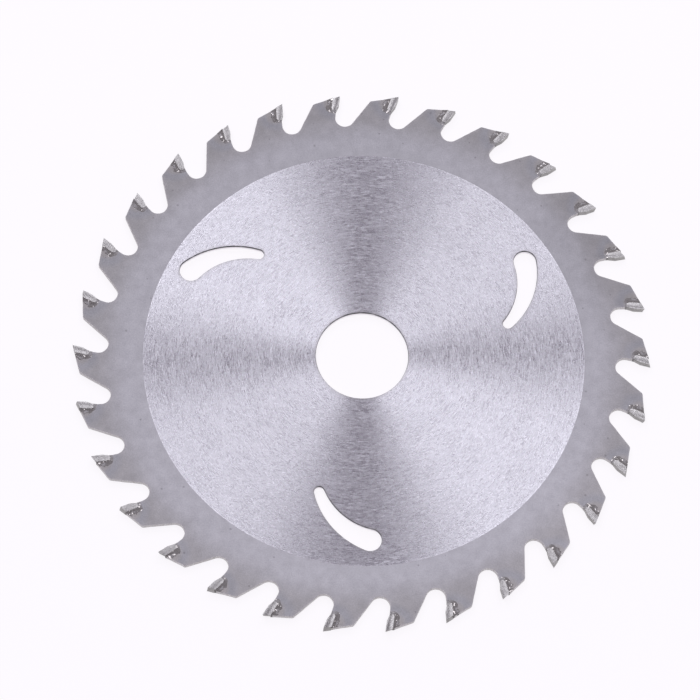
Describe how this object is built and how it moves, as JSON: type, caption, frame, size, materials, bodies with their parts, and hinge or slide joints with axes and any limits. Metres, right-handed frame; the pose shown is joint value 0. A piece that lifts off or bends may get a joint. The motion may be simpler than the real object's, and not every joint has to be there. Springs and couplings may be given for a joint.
{
  "type": "tct circular saw blade",
  "caption": "Flat round steel saw blade with a central arbor bore, curved expansion slots, raked teeth with deep gullets and brazed carbide tips bevelled to alternate sides.",
  "frame": {"origin": "centre of the bore, at half the thickness of the plate", "axes": "+Z along the arbor axis, out of the face that sees the blade turn clockwise when it cuts; +X through the cutting corner of carbide_tip_01; +Y completes the right-handed frame"},
  "size_m": [0.125, 0.1244, 0.0018],
  "materials": {
    "ground_steel": "inner disc ground in fine circles, outer ring and teeth blasted matt, cut edges dull",
    "carbide": "dull grey sintered carbide, finely ground on its faces"
  },
  "bodies": {
    "root": {"blade_body": "ground_steel", "carbide_tip_01": "carbide", "carbide_tip_02": "carbide", "carbide_tip_03": "carbide", "carbide_tip_04": "carbide", "carbide_tip_05": "carbide", "carbide_tip_06": "carbide", "carbide_tip_07": "carbide", "carbide_tip_08": "carbide", "carbide_tip_09": "carbide", "carbide_tip_10": "carbide", "carbide_tip_11": "carbide", "carbide_tip_12": "carbide", "carbide_tip_13": "carbide", "carbide_tip_14": "carbide", "carbide_tip_15": "carbide", "carbide_tip_16": "carbide", "carbide_tip_17": "carbide", "carbide_tip_18": "carbide", "carbide_tip_19": "carbide", "carbide_tip_20": "carbide", "carbide_tip_21": "carbide", "carbide_tip_22": "carbide", "carbide_tip_23": "carbide", "carbide_tip_24": "carbide", "carbide_tip_25": "carbide", "carbide_tip_26": "carbide", "carbide_tip_27": "carbide", "carbide_tip_28": "carbide", "carbide_tip_29": "carbide", "carbide_tip_30": "carbide"}
  },
  "joints": []
}
